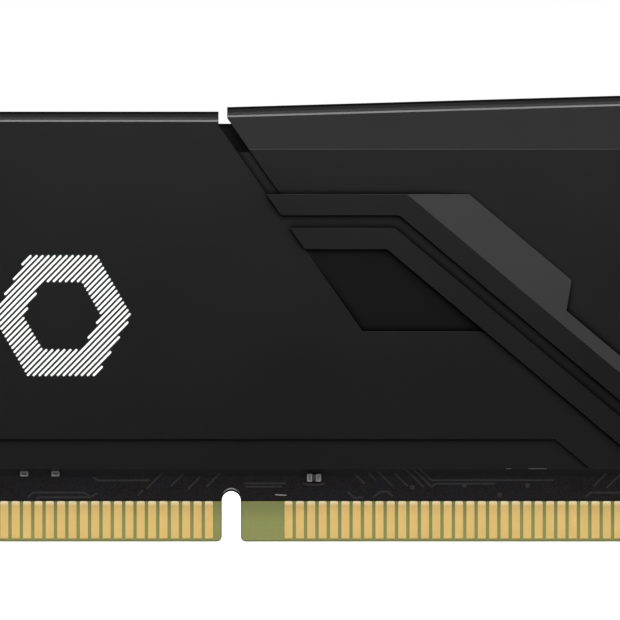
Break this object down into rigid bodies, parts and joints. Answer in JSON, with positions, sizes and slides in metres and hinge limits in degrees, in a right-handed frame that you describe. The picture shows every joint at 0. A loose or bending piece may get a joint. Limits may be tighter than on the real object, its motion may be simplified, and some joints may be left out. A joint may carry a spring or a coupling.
{
  "type": "ram module",
  "caption": "Full-length desktop memory module: circuit board with a keyed gold contact edge and memory chips, between two ribbed, faceted black heat spreader plates.",
  "frame": {"origin": "middle of the board's length and thickness, level with the lowest line of the contact edge", "axes": "+X along the board, +Z from the contact edge up to the top edge, -Y out of the board's plain side (front), +Y out of the chip side (rear)"},
  "size_m": [0.1334, 0.0072, 0.0341],
  "materials": {
    "black_aluminium": "satin black",
    "laminate": "green-brown glass epoxy",
    "solder_mask": "semi-gloss black",
    "contact_gold": "hard gold plate",
    "mould_compound": "fine matte",
    "solder": "reflowed solder",
    "tin": "dull tin",
    "capacitor_ceramic": "matte brown",
    "resistor_ceramic": "glazed black",
    "thermal_silicone": "soft matte",
    "foam": "open matte",
    "label_film": "satin silver film"
  },
  "bodies": {
    "root": {"pcb_laminate": "laminate", "solder_mask_front": "solder_mask", "solder_mask_rear": "solder_mask", "contact_fingers_front": "contact_gold", "contact_fingers_rear": "contact_gold", "dram_package_1": "mould_compound", "dram_package_2": "mould_compound", "dram_package_3": "mould_compound", "dram_package_4": "mould_compound", "dram_package_5": "mould_compound", "dram_package_6": "mould_compound", "dram_package_7": "mould_compound", "dram_package_8": "mould_compound", "dram_solder_balls": "solder", "spd_eeprom": "mould_compound", "capacitor_bodies_front": "capacitor_ceramic", "capacitor_terminals_front": "tin", "capacitor_bodies_rear": "capacitor_ceramic", "capacitor_terminals_rear": "tin", "resistor_array_bodies": "resistor_ceramic", "resistor_array_terminals": "tin", "thermal_pad_rear": "thermal_silicone", "foam_pad_front": "foam", "heat_spreader_front": "black_aluminium", "heat_spreader_rear": "black_aluminium", "spec_label": "label_film"}
  },
  "joints": []
}
